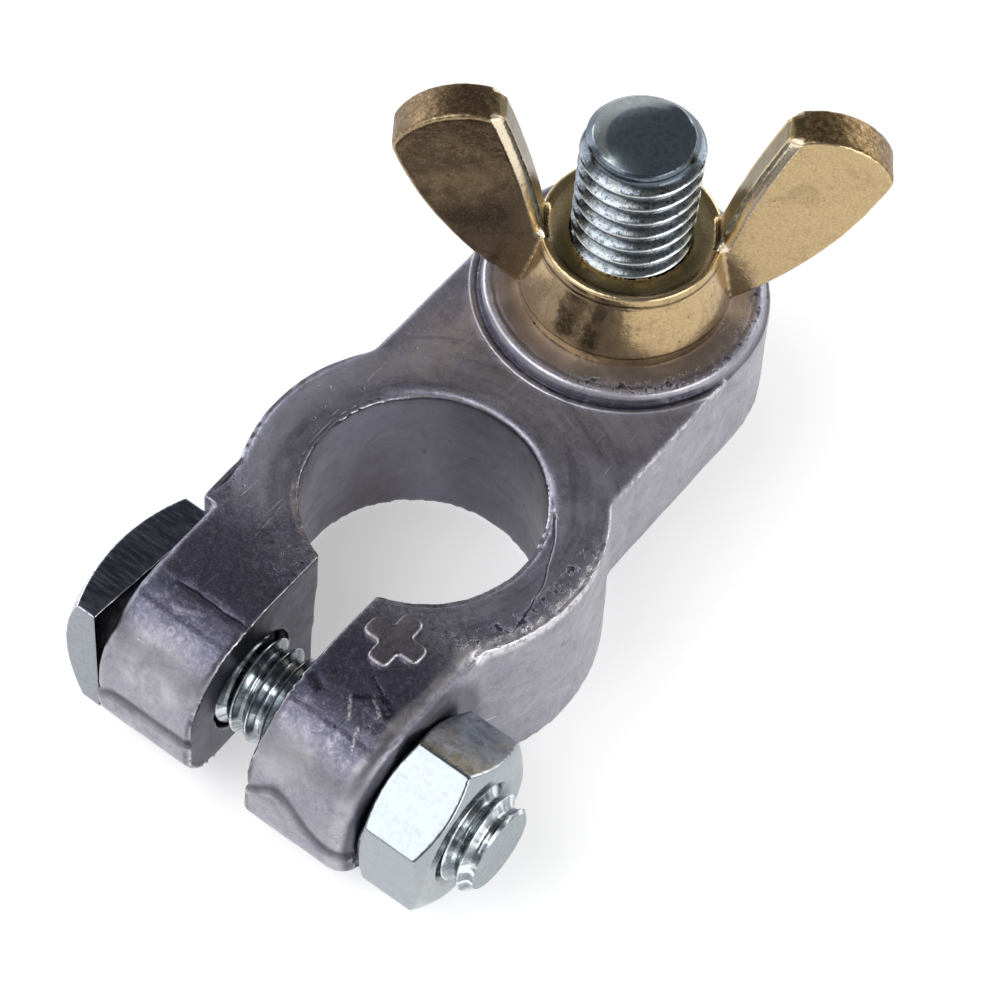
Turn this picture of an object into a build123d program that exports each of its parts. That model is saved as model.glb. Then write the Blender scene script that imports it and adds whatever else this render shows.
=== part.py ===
from build123d import *
import math
import os

os.makedirs("parts", exist_ok=True)

# A battery terminal clamp: a split ring that grips a tapered battery post, two
# ears drawn together by a square-headed bolt and a hex nut, and a tail with a
# threaded stud and a wing nut for the cable lug.
# Millimetres. +Z runs up along the post bore, the ears point to -Y and the
# tail to +Y. The origin is on the bore's axis, on the ring's lower face.

# --- driving dimensions -----------------------------------------------------

# split ring and its post bore
ring_height = 15.2
ring_radius_top = 14.2
casting_draft = 2.0         # degrees, the ring and the tail widen downwards
rim_radius = 0.45           # rounded top rim of the casting
bore_radius_base = 9.95     # straight land that meets the foot of the post
bore_land = 4.0
bore_taper = 1 / 9          # taper on the diameter, as on battery posts
bore_lip = 0.5              # rounding of the bore's upper rim
slot_width = 5.4

# clamp bolt, a square-headed 5/16 inch bolt
bolt_diameter = 7.94
bolt_head_flats = 12.5
bolt_head_height = 5.2
bolt_head_corner_height = 2.6
bolt_overhang = 2.4         # bolt beyond the outer face of its nut
bolt_chamfer = 0.8
bolt_hole_play = 0.35       # between the bolt and its holes in the ears
bolt_head_play = 0.2        # between the head and the lug that stops it turning

# clamp nut
nut_flats = 12.7
nut_height = 6.0
nut_turn = 30.5             # degrees from +Y to one corner
nut_chamfer = 0.35          # depth of the chamfer inward from the corners
nut_swing = 0.9             # between the turning nut and the ring
thread_play = 0.05          # radial, between a plain shank and its nut

# ears
head_ear_setback = 2.5      # ear face under the bolt head, inside the ring's outside
nut_ear_setback = 2.2       # ear face under the nut, inside the ring's outside
ear_nose_radius = 7.5        # round nose of the ears
bolt_drop = 0.35            # bolt hole below the middle of the nose
ear_floor = 0.9             # metal under the bolt hole
ear_toe_radius = 3.3
nut_ear_edge_radius = 1.6
head_ear_edge_radius = 0.7
lug_width = 1.2             # how far the lug stands out past the ear

# tail, its boss and the stud's seat
tail_half_width = 11.4      # at the top
tail_end_overrun = 0.4      # centre of the round end, past the stud
tail_corner_radius = 1.5
stud_offset = 25.4
boss_radius = 11.2
boss_height = 1.1
boss_edge_radius = 0.7
stud_head_recess = 2.0
stud_head_lift = 1.2        # stud head above the surface the ring stands on
stud_head_play = 0.15
stud_hole_play = 0.1

# terminal stud, a square-headed 3/8 inch bolt set head down in the tail
stud_diameter = 9.525
stud_head_flats = 14.3
stud_head_height = 6.2
stud_reach = 17.4           # stud above the boss
stud_chamfer = 1.2

# wing nut
hub_radius_base = 8.4
hub_radius_top = 7.05
hub_height = 6.5
hub_foot = 1.0
wing_span = 37.4
wing_height = 20.0
wing_thickness = 3.4
wing_edge_radius = 0.35
wing_tip_radius = 1.0
wing_turn = 34.2            # degrees from +X to the wings' plane

# --- places worked out from the sizes ---------------------------------------

bolt_radius = bolt_diameter / 2
nut_corner_radius = nut_flats / math.sqrt(3)
ear_nose_z = ring_height - ear_nose_radius
bolt_z = ear_nose_z - bolt_drop
bolt_hole_radius = bolt_radius + bolt_hole_play
ear_underside = bolt_z - bolt_hole_radius - ear_floor
head_ear_face = ring_radius_top - head_ear_setback
nut_ear_face = ring_radius_top - nut_ear_setback
draft_slope = math.tan(math.radians(casting_draft))
ring_radius_base = ring_radius_top + draft_slope * ring_height
ring_at_ear_y = math.sqrt(ring_radius_base**2 - nut_ear_face**2)
bolt_y = -(ring_at_ear_y + nut_corner_radius + nut_swing)
ear_front_y = bolt_y - ear_nose_radius
toe_y = ear_front_y + ear_toe_radius
toe_z = ear_underside + ear_toe_radius
lug_front_y = bolt_y + bolt_head_flats / 2 + bolt_head_play
lug_x = -head_ear_face - lug_width
ear_root_y = -0.4 * ring_radius_top     # inside the ring, short of its bore
nut_outer_x = nut_ear_face + nut_height
bolt_end_x = nut_outer_x + bolt_overhang
bolt_axis = Axis((0, bolt_y, bolt_z), (1, 0, 0))

bore_radius_top = bore_radius_base - (ring_height - bore_land) * bore_taper / 2
stud_radius = stud_diameter / 2
tail_underside = stud_head_height - stud_head_recess + stud_head_lift
tail_end_y = stud_offset + tail_end_overrun
stud_seat = tail_underside + stud_head_recess
boss_top = ring_height + boss_height
stud_top = boss_top + stud_reach

head_plane = Plane.YZ.offset(-head_ear_face)
nut_plane = Plane.YZ.offset(nut_ear_face)


# --- clamp body: one casting ------------------------------------------------

with BuildPart() as clamp_body:
    # ring and tail, drafted so that they widen towards the foot
    with BuildSketch(Plane.XY.offset(ring_height)) as top_outline:
        Circle(ring_radius_top)
        with Locations((0, tail_end_y / 2)):
            Rectangle(2 * tail_half_width, tail_end_y)
        with Locations((0, tail_end_y)):
            Circle(tail_half_width)
        ring_to_tail = top_outline.vertices().filter_by(
            lambda v: abs(abs(v.X) - tail_half_width) < 0.01 and v.Y < ring_radius_top
        )
        fillet(ring_to_tail, tail_corner_radius)
    slab = extrude(
        amount=tail_underside - ring_height, taper=-casting_draft, mode=Mode.PRIVATE
    )
    add(slab.fillet(rim_radius, slab.edges().group_by(Axis.Z)[-1]))
    Cone(
        ring_radius_base,
        ring_radius_top + draft_slope * (ring_height - tail_underside),
        tail_underside,
        align=(Align.CENTER, Align.CENTER, Align.MIN),
    )

    # ears, a round nose above and a smaller rounded toe below
    with BuildSketch(head_plane):
        with BuildLine():
            Line((ear_root_y, ring_height), (bolt_y, ring_height))
            ThreePointArc(
                (bolt_y, ring_height),
                (
                    bolt_y - ear_nose_radius * math.sin(math.radians(45)),
                    ear_nose_z + ear_nose_radius * math.sin(math.radians(45)),
                ),
                (ear_front_y, ear_nose_z),
            )
            Line((ear_front_y, ear_nose_z), (ear_front_y, toe_z))
            ThreePointArc(
                (ear_front_y, toe_z),
                (
                    toe_y - ear_toe_radius * math.sin(math.radians(45)),
                    toe_z - ear_toe_radius * math.sin(math.radians(45)),
                ),
                (toe_y, ear_underside),
            )
            Polyline(
                (toe_y, ear_underside),
                (ear_root_y, ear_underside),
                (ear_root_y, ring_height),
            )
        make_face()
    ears = extrude(amount=head_ear_face + nut_ear_face, mode=Mode.PRIVATE)
    ear_sides = ears.faces().filter_by(Axis.X).edges()
    ear_sides = ear_sides.filter_by(lambda e: e.center().Y < ear_root_y)
    ears = ears.fillet(nut_ear_edge_radius, ear_sides.filter_by(lambda e: e.center().X > 0))
    add(ears.fillet(head_ear_edge_radius, ear_sides.filter_by(lambda e: e.center().X < 0)))

    # lug that stops the square bolt head from turning
    with BuildSketch(Plane.XY.offset(ear_underside)):
        with Locations((lug_x, lug_front_y)):
            Rectangle(
                2 * lug_width,
                ear_root_y - lug_front_y,
                align=(Align.MIN, Align.MIN),
            )
    lug = extrude(amount=ring_height - ear_underside, mode=Mode.PRIVATE)
    lug_rim = lug.edges().group_by(Axis.X)[0].filter_by(Axis.Y).sort_by(Axis.Z)[-1]
    add(lug.fillet(rim_radius, [lug_rim]))

    # boss that the cable lug sits on
    with BuildSketch(Plane.XY.offset(ring_height - rim_radius)):
        with Locations((0, stud_offset)):
            Circle(boss_radius)
    extrude(amount=boss_height + rim_radius)
    fillet(clamp_body.edges().group_by(Axis.Z)[-1], boss_edge_radius)

    # post bore: a straight land, then the post's taper
    with BuildSketch(Plane.XZ):
        Polygon(
            (0, 0),
            (bore_radius_base, 0),
            (bore_radius_base, bore_land),
            (bore_radius_top, ring_height),
            (0, ring_height),
            align=None,
        )
    revolve(axis=Axis.Z, mode=Mode.SUBTRACT)
    bore_rim = clamp_body.faces().filter_by(
        lambda f: abs(f.center().Z - ring_height) < 0.01
    )
    fillet(bore_rim.sort_by(SortBy.AREA)[-1].inner_wires()[0].edges(), bore_lip)

    # slot between the ears
    with BuildSketch(Plane.XY):
        with Locations((0, ear_front_y)):
            Rectangle(slot_width, -ear_front_y, align=(Align.CENTER, Align.MIN))
    extrude(amount=ring_height, mode=Mode.SUBTRACT)

    # bolt hole through both ears
    with BuildSketch(head_plane):
        with Locations((bolt_y, bolt_z)):
            Circle(bolt_hole_radius)
    extrude(amount=head_ear_face + nut_ear_face, mode=Mode.SUBTRACT)

    # stud hole, and the square recess that holds the stud's head
    with BuildSketch(Plane.XY.offset(tail_underside)):
        with Locations((0, stud_offset)):
            Rectangle(
                stud_head_flats + 2 * stud_head_play,
                stud_head_flats + 2 * stud_head_play,
            )
    extrude(amount=stud_head_recess, mode=Mode.SUBTRACT)
    with BuildSketch(Plane.XY.offset(stud_seat)):
        with Locations((0, stud_offset)):
            Circle(stud_radius + stud_hole_play)
    extrude(amount=boss_top - stud_seat, mode=Mode.SUBTRACT)

clamp_body.part.label = "clamp_body"


# --- clamp bolt: square head with a domed top, plain shank -------------------

head_corner_radius = bolt_head_flats / math.sqrt(2)
dome_drop = bolt_head_height - bolt_head_corner_height
dome_radius = (head_corner_radius**2 + dome_drop**2) / (2 * dome_drop)
dome_half_angle = math.asin(head_corner_radius / dome_radius) / 2
crown_x = -head_ear_face - bolt_head_height

with BuildPart() as clamp_bolt:
    with BuildSketch(head_plane):
        with Locations((bolt_y, bolt_z)):
            Rectangle(bolt_head_flats, bolt_head_flats)
    extrude(amount=-bolt_head_height)
    # the dome, an arc from the crown down to the head's corners
    with BuildSketch(Plane.XY.offset(bolt_z)):
        with BuildLine():
            ThreePointArc(
                (crown_x, bolt_y),
                (
                    crown_x + dome_radius * (1 - math.cos(dome_half_angle)),
                    bolt_y - dome_radius * math.sin(dome_half_angle),
                ),
                (crown_x + dome_drop, bolt_y - head_corner_radius),
            )
            Polyline(
                (crown_x + dome_drop, bolt_y - head_corner_radius),
                (-head_ear_face, bolt_y - head_corner_radius),
                (-head_ear_face, bolt_y),
                (crown_x, bolt_y),
            )
        make_face()
    revolve(axis=bolt_axis, mode=Mode.INTERSECT)
    with BuildSketch(head_plane):
        with Locations((bolt_y, bolt_z)):
            Circle(bolt_radius)
    extrude(amount=bolt_end_x + head_ear_face)
    chamfer(clamp_bolt.edges().group_by(Axis.X)[-1], bolt_chamfer)

clamp_bolt.part.label = "clamp_bolt"


# --- clamp nut: hexagon chamfered on both faces ------------------------------

nut_rim_radius = nut_flats / 2 - nut_chamfer
nut_chamfer_drop = (nut_corner_radius - nut_rim_radius) * math.tan(math.radians(30))

with BuildPart() as clamp_nut:
    with BuildSketch(nut_plane):
        with Locations((bolt_y, bolt_z)):
            RegularPolygon(nut_flats / 2, 6, major_radius=False, rotation=nut_turn)
    extrude(amount=nut_height)
    with BuildSketch(Plane.XY.offset(bolt_z)):
        with BuildLine():
            Polyline(
                (nut_ear_face, bolt_y),
                (nut_ear_face, bolt_y - nut_rim_radius),
                (nut_ear_face + nut_chamfer_drop, bolt_y - nut_corner_radius),
                (nut_outer_x - nut_chamfer_drop, bolt_y - nut_corner_radius),
                (nut_outer_x, bolt_y - nut_rim_radius),
                (nut_outer_x, bolt_y),
                close=True,
            )
        make_face()
    revolve(axis=bolt_axis, mode=Mode.INTERSECT)
    with BuildSketch(nut_plane):
        with Locations((bolt_y, bolt_z)):
            Circle(bolt_radius + thread_play)
    extrude(amount=nut_height, mode=Mode.SUBTRACT)

clamp_nut.part.label = "clamp_nut"


# --- terminal stud: head down in the tail's recess ---------------------------

with BuildPart() as terminal_stud:
    with BuildSketch(Plane.XY.offset(stud_seat - stud_head_height)):
        with Locations((0, stud_offset)):
            Rectangle(stud_head_flats, stud_head_flats)
    extrude(amount=stud_head_height)
    with BuildSketch(Plane.XY.offset(stud_seat)):
        with Locations((0, stud_offset)):
            Circle(stud_radius)
    extrude(amount=stud_top - stud_seat)
    chamfer(terminal_stud.edges().group_by(Axis.Z)[-1], stud_chamfer)

terminal_stud.part.label = "terminal_stud"


# --- wing nut: a conical hub with two wings ----------------------------------

wing_angle = math.radians(wing_turn)
wing_plane = Plane(
    origin=(0, stud_offset, boss_top),
    x_dir=(math.cos(wing_angle), math.sin(wing_angle), 0),
    z_dir=(math.sin(wing_angle), -math.cos(wing_angle), 0),
)
wing_reach = wing_span / 2
root_low = (0.96 * hub_radius_base, 0.5 * hub_foot)
root_high = (0.92 * hub_radius_top, hub_height - 0.4)
tip_low = (wing_reach, 0.79 * wing_height)
tip_high = (0.56 * wing_reach, 0.97 * wing_height)

with BuildPart() as wing_nut:
    # hub: a short straight foot, then a cone up to the collar
    with BuildSketch(wing_plane):
        with BuildLine():
            Polyline(
                (0, 0),
                (hub_radius_base, 0),
                (hub_radius_base, hub_foot),
                (hub_radius_top, hub_height),
                (0, hub_height),
                close=True,
            )
        make_face()
    revolve(axis=Axis((0, stud_offset, 0), (0, 0, 1)))

    # one wing, leaning out from the hub
    with BuildSketch(wing_plane):
        with BuildLine():
            ThreePointArc(root_low, (0.785 * wing_reach, 0.38 * wing_height), tip_low)
            ThreePointArc(tip_low, (0.78 * wing_reach, 0.985 * wing_height), tip_high)
            ThreePointArc(tip_high, (0.44 * wing_reach, 0.65 * wing_height), root_high)
            Line(root_high, root_low)
        make_face()
    wing = extrude(amount=wing_thickness / 2, both=True, mode=Mode.PRIVATE)
    tip_corners = wing.edges().filter_by(Axis((0, 0, 0), wing_plane.z_dir)).filter_by(
        lambda e: e.center().Z > boss_top + hub_height
    )
    wing = wing.fillet(wing_tip_radius, tip_corners)
    wing_rim = wing.edges().filter_by(
        lambda e: e.center().Z > boss_top + hub_foot
        and abs(wing_plane.to_local_coords(e.center()).Z) > 0.4 * wing_thickness
        and wing_plane.to_local_coords(e.center()).X > hub_radius_base
    )
    wing = wing.fillet(wing_edge_radius, wing_rim)
    add(wing)
    add(wing.rotate(Axis((0, stud_offset, 0), (0, 0, 1)), 180))

    # threaded hole, drawn plain
    with BuildSketch(Plane.XY.offset(boss_top)):
        with Locations((0, stud_offset)):
            Circle(stud_radius + thread_play)
    extrude(amount=wing_height, mode=Mode.SUBTRACT)

wing_nut.part.label = "wing_nut"


export_step(clamp_body.part, "parts/clamp_body.step")
export_step(clamp_bolt.part, "parts/clamp_bolt.step")
export_step(clamp_nut.part, "parts/clamp_nut.step")
export_step(terminal_stud.part, "parts/terminal_stud.step")
export_step(wing_nut.part, "parts/wing_nut.step")
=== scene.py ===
import math

import bmesh
import bpy
from bpy.props import FloatProperty, FloatVectorProperty, PointerProperty
from mathutils import Matrix, Vector, noise


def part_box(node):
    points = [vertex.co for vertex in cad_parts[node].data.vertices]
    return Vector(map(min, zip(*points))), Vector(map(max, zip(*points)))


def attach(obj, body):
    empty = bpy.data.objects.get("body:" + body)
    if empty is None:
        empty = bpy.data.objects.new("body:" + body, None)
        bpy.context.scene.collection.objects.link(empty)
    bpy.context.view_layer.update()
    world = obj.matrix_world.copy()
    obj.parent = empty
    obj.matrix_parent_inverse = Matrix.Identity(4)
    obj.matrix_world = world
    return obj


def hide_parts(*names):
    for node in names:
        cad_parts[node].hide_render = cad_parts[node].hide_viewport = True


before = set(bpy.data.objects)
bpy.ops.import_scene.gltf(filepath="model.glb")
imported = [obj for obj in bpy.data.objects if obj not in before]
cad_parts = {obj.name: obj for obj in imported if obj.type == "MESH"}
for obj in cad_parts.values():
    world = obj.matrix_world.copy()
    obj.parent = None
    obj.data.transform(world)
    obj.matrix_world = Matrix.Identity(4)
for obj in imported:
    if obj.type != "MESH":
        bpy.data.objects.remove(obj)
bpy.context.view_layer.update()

bl_info = {
    "name": "Battery Terminal Clamp",
    "version": (1, 0, 0),
    "blender": (4, 5, 0),
    "location": "3D View > Sidebar > Terminal Clamp",
    "description": "Dresses the battery terminal clamp: casting, bolt, nut, stud and wing nut",
    "category": "Object",
}

MM = 0.001

# Where the hardware sits, read from the frame, in metres.
nut_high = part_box("clamp_nut")[1]
bolt_low, bolt_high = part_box("clamp_bolt")
stud_low, stud_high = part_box("terminal_stud")
wing_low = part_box("wing_nut")[0]
BOLT_CENTRE = Vector((0, (bolt_low.y + bolt_high.y) / 2, (bolt_low.z + bolt_high.z) / 2))
STUD_CENTRE = Vector((0, (stud_low.y + stud_high.y) / 2, 0))

# The same places for the finishes, and a few sizes that shapes and finishes share, in millimetres.
BOLT_AXIS = (BOLT_CENTRE.y / MM, BOLT_CENTRE.z / MM)
STUD_AXIS = (0.0, STUD_CENTRE.y / MM)
STUD_Y = STUD_AXIS[1]
RING_TOP = 15.2
HEAD_SEAT = -11.7           # the ear's face under the bolt's head
BOLT_CREST = 3.97           # radius over the thread
STUD_CREST = 4.7625
THREAD_START = 5.0          # the stud's thread, above the underside of its head
MARK_PLACE = (6.3, -11.5)   # middle of the plus mark
COLLAR_TOP = 6.5            # the wing nut's collar, above its foot
COLLAR_MOUTH = 6.5          # radius at which the collar's dish begins
WING_REACH = 18.7
WING_TALL = 20.0
WING_TURN = math.radians(34.2)      # from +X to the wings' plane


# ---------------------------------------------------------------- settings

def length(name, description, default, low=0.0, high=0.1):
    return FloatProperty(
        name=name, description=description, default=default,
        min=low, max=high, unit="LENGTH", precision=5,
    )


def angle(name, description, degrees):
    return FloatProperty(
        name=name, description=description, default=math.radians(degrees), subtype="ANGLE",
    )


def colour(name, description, default):
    return FloatVectorProperty(
        name=name, description=description, default=default,
        min=0.0, max=1.0, size=3, subtype="COLOR",
    )


class CastingSettings(bpy.types.PropertyGroup):
    grain: length("Skin grain", "Spacing of the points on the casting's skin", 0.27 * MM)
    waviness: length("Waviness", "Depth of the slow waves left by the mould", 0.05 * MM)
    crown: length("Ring crown", "How far the ring's top falls away to its edges", 0.26 * MM)
    crease_depth: length("Ear crease", "Depth of the mould crease across the ear tops", 0.12 * MM)
    toe_step: length("Toe step", "How far the toes stand out below the mould's step", 0.20 * MM)
    mark_size: length("Plus mark", "Overall size of the raised plus mark", 5.0 * MM)
    mark_height: length("Plus mark height", "How far the plus mark stands up", 0.42 * MM)
    alloy: colour("Alloy", "Fresh face of the cast alloy", (0.385, 0.385, 0.45))
    alloy_dull: colour("Dull alloy", "Patches where the alloy has gone dull", (0.295, 0.29, 0.37))


class HardwareSettings(bpy.types.PropertyGroup):
    bolt_pitch: length("Bolt pitch", "Thread pitch of the clamp bolt", 1.411 * MM)
    stud_pitch: length("Stud pitch", "Thread pitch of the terminal stud", 1.5875 * MM)
    head_gap: length("Head gap", "Dark gap between the bolt's head and the ear", 0.50 * MM)
    grain: length("Skin grain", "Spacing of the points on the head's and nut's skin", 0.13 * MM)
    edge_round: length("Edge rounding", "Rounding of the stud head's edges", 0.16 * MM)
    countersink: length("Countersink", "Chamfer at the mouth of the nut", 0.45 * MM)
    zinc: colour("Zinc", "Bright zinc plating", (0.375, 0.41, 0.435))
    zinc_shade: colour("Zinc shade", "Dark slate streaks in the plating", (0.12, 0.145, 0.175))
    zinc_tint: colour("Zinc tint", "Straw tint in the plating", (0.38, 0.34, 0.25))


class WingNutSettings(bpy.types.PropertyGroup):
    grain: length("Skin grain", "Spacing of the points on the wing nut's skin", 0.16 * MM)
    dish: length("Collar dish", "Depth of the dish inside the collar", 0.45 * MM)
    edge_break: length("Inner edge", "Width of the worn bevel on the wings' inner edges", 0.8 * MM)
    brass: colour("Brass", "Polished brass", (0.51, 0.37, 0.195))
    brass_dark: colour("Dark brass", "Brown film in the pits of the brass", (0.21, 0.145, 0.075))


class StageSettings(bpy.types.PropertyGroup):
    azimuth: angle("Azimuth", "Camera's turn from the front, to the right", 33.20)
    elevation: angle("Elevation", "Camera's height angle", 55.65)
    roll: angle("Roll", "Camera's tilt about its own axis", 5.19)
    distance: length("Distance", "Camera to the point it looks at", 0.27324, 0.0, 2.0)
    floor: colour("Floor", "Pale studio floor", (0.93, 0.93, 0.93))


# ---------------------------------------------------------------- mesh helpers

def merged_copy(node):
    """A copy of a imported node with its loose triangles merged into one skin."""
    skin = bmesh.new()
    skin.from_mesh(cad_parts[node].data)
    bmesh.ops.remove_doubles(skin, verts=skin.verts[:], dist=0.002 * MM)
    bmesh.ops.recalc_face_normals(skin, faces=skin.faces[:])
    return skin


def new_object(name, mesh):
    made = bpy.data.objects.new(name, mesh)
    bpy.context.scene.collection.objects.link(made)
    return made


def new_piece(skin, name, body, material, sharp=40):
    """Turns a skin into a finished piece that rides on a body."""
    mesh = bpy.data.meshes.new(name)
    skin.to_mesh(mesh)
    skin.free()
    piece = new_object(name, mesh)
    for face in mesh.polygons:
        face.use_smooth = len(face.vertices) < 12
    mesh.set_sharp_from_angle(angle=math.radians(sharp))
    mesh.materials.clear()
    mesh.materials.append(material)
    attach(piece, body)
    return piece


def remeshed(skin, grain, rounds):
    """The same form with an even skin, its hard edges eased by smoothing."""
    mesh = bpy.data.meshes.new("work")
    skin.to_mesh(mesh)
    skin.free()
    work = new_object("work", mesh)
    voxels = work.modifiers.new("even skin", "REMESH")
    voxels.mode = "VOXEL"
    voxels.voxel_size = grain
    eased = work.modifiers.new("eased edges", "SMOOTH")
    eased.factor = 0.5
    eased.iterations = rounds
    worked = work.evaluated_get(bpy.context.evaluated_depsgraph_get())
    even = bmesh.new()
    even.from_mesh(worked.to_mesh())
    worked.to_mesh_clear()
    bpy.data.objects.remove(work)
    bpy.data.meshes.remove(mesh)
    return even


def note_edges(skin):
    """Keeps how far each point stands out from its neighbours, for wear, painted edge highlights
    and darker hollows.
    """
    layer = skin.verts.layers.float.new("standing_out")
    raw = {}
    for v in skin.verts:
        fall = 0.0
        for e in v.link_edges:
            way = e.other_vert(v).co - v.co
            fall -= way.dot(v.normal) / max(way.length, 1e-9)
        raw[v.index] = fall / max(len(v.link_edges), 1)
    for v in skin.verts:
        near = [raw[e.other_vert(v).index] for e in v.link_edges]
        v[layer] = 0.5 * raw[v.index] + 0.5 * sum(near) / max(len(near), 1)


def arc_through(a, b, c):
    """Centre and radius of the circle through three points."""
    (ax, ay), (bx, by), (cx, cy) = a, b, c
    d = 2 * (ax * (by - cy) + bx * (cy - ay) + cx * (ay - by))
    aa, bb, cc = ax * ax + ay * ay, bx * bx + by * by, cx * cx + cy * cy
    ux = (aa * (by - cy) + bb * (cy - ay) + cc * (ay - by)) / d
    uy = (aa * (cx - bx) + bb * (ax - cx) + cc * (bx - ax)) / d
    return ux, uy, math.hypot(ax - ux, ay - uy)


def smooth_step(low, high, value):
    t = min(max((value - low) / (high - low), 0.0), 1.0)
    return t * t * (3 - 2 * t)


def groove(distance, width):
    """1 in the middle of a line, falling to 0 at its sides."""
    return math.exp(-(distance / width) ** 2)


def cut_off(skin, place, way):
    """Cuts away what lies past a plane, and closes the cut."""
    cut = bmesh.ops.bisect_plane(
        skin, geom=skin.verts[:] + skin.edges[:] + skin.faces[:],
        plane_co=place, plane_no=way, clear_outer=True,
    )
    rim = [e for e in cut["geom_cut"] if isinstance(e, bmesh.types.BMEdge)]
    bmesh.ops.holes_fill(skin, edges=rim)


def join(skin, other):
    mesh = bpy.data.meshes.new("join")
    other.to_mesh(mesh)
    other.free()
    skin.from_mesh(mesh)
    bpy.data.meshes.remove(mesh)


def join_round(skin, middle, radius, depth, segments):
    """Adds a plain round bar that lies along X."""
    bar = bmesh.new()
    bmesh.ops.create_cone(
        bar, cap_ends=True, segments=segments, radius1=radius, radius2=radius, depth=depth,
    )
    bmesh.ops.rotate(bar, verts=bar.verts[:], matrix=Matrix.Rotation(math.pi / 2, 3, "Y"))
    bmesh.ops.translate(bar, verts=bar.verts[:], vec=middle)
    join(skin, bar)


# One turn of a rolled thread from root to root: place along the pitch, share of the depth.
ROLLED_PROFILE = (
    (0.0, 0.0), (0.12, 0.05), (0.24, 0.25), (0.38, 0.72), (0.45, 0.96), (0.5, 1.0),
    (0.55, 0.96), (0.62, 0.72), (0.76, 0.25), (0.88, 0.05), (1.0, 0.0),
)


def thread_into(skin, centre, along, start, end, radius, pitch, chamfer_end, steps=48):
    """Adds a rolled thread: one turn's profile spun and drawn along the rod."""
    depth = 0.5 * pitch
    along = Vector(along)
    side = Vector((0, 0, 1)) if abs(along.z) < 0.5 else Vector((1, 0, 0))
    turns = int((end - start) / pitch) + 3
    origin = centre + along * (start - pitch)
    rod = bmesh.new()
    points = [
        rod.verts.new(origin + along * (u * pitch) + side * (radius - depth + depth * h))
        for u, h in ROLLED_PROFILE
    ]
    lines = [rod.edges.new(pair) for pair in zip(points, points[1:])]
    bmesh.ops.spin(
        rod, geom=points + lines, cent=origin, axis=along, dvec=along * (pitch / steps),
        angle=2 * math.pi * turns, steps=steps * turns, use_merge=False,
    )
    bmesh.ops.remove_doubles(rod, verts=rod.verts[:], dist=0.004 * MM)
    cut_off(rod, centre + along * start, -along)
    cut_off(rod, centre + along * end, along)
    for v in rod.verts:
        from_axis = v.co - centre
        depth_in = end - from_axis.dot(along)
        from_axis -= along * from_axis.dot(along)
        widest = radius - chamfer_end + depth_in
        if from_axis.length > widest > 0:
            v.co -= from_axis * (1 - widest / from_axis.length)
    bmesh.ops.recalc_face_normals(rod, faces=rod.faces[:])
    join(skin, rod)


def flats_merged(skin):
    """Merges the triangles of each flat, so that only the real edges are left."""
    bmesh.ops.dissolve_limit(
        skin, angle_limit=math.radians(1), verts=skin.verts[:], edges=skin.edges[:],
    )


def rounded_edges(skin, least_turn, width):
    """Bevels every edge that turns more than an angle."""
    flats_merged(skin)
    hard = [e for e in skin.edges if len(e.link_faces) == 2 and e.calc_face_angle() > least_turn]
    bmesh.ops.bevel(
        skin, geom=hard, offset=width, offset_type="OFFSET", affect="EDGES",
        segments=2, profile=0.5, material=-1, clamp_overlap=True,
    )


# ---------------------------------------------------------------- finishes

class Nodes:
    """The nodes of a material or of the world, each made and linked by one call."""

    def __init__(self, owner):
        owner.use_nodes = True
        self.nodes, self.links = owner.node_tree.nodes, owner.node_tree.links

    def put(self, socket, value):
        if isinstance(value, bpy.types.NodeSocket):
            self.links.new(value, socket)
        else:
            if hasattr(socket.default_value, "__len__") and len(socket.default_value) == 4:
                value = (*value[:3], 1.0)
            socket.default_value = value

    def node(self, kind, inputs=()):
        made = self.nodes.new("ShaderNode" + kind)
        for name, value in dict(inputs).items():
            self.put(made.inputs[name], value)
        return made

    def ramp(self, value, low, high, out_low=0.0, out_high=1.0):
        node = self.node("MapRange", {
            "Value": value, "From Min": low, "From Max": high,
            "To Min": out_low, "To Max": out_high,
        })
        node.interpolation_type = "SMOOTHSTEP"
        return node.outputs["Result"]

    def parts(self, vector):
        return self.node("SeparateXYZ", {0: vector}).outputs


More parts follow.
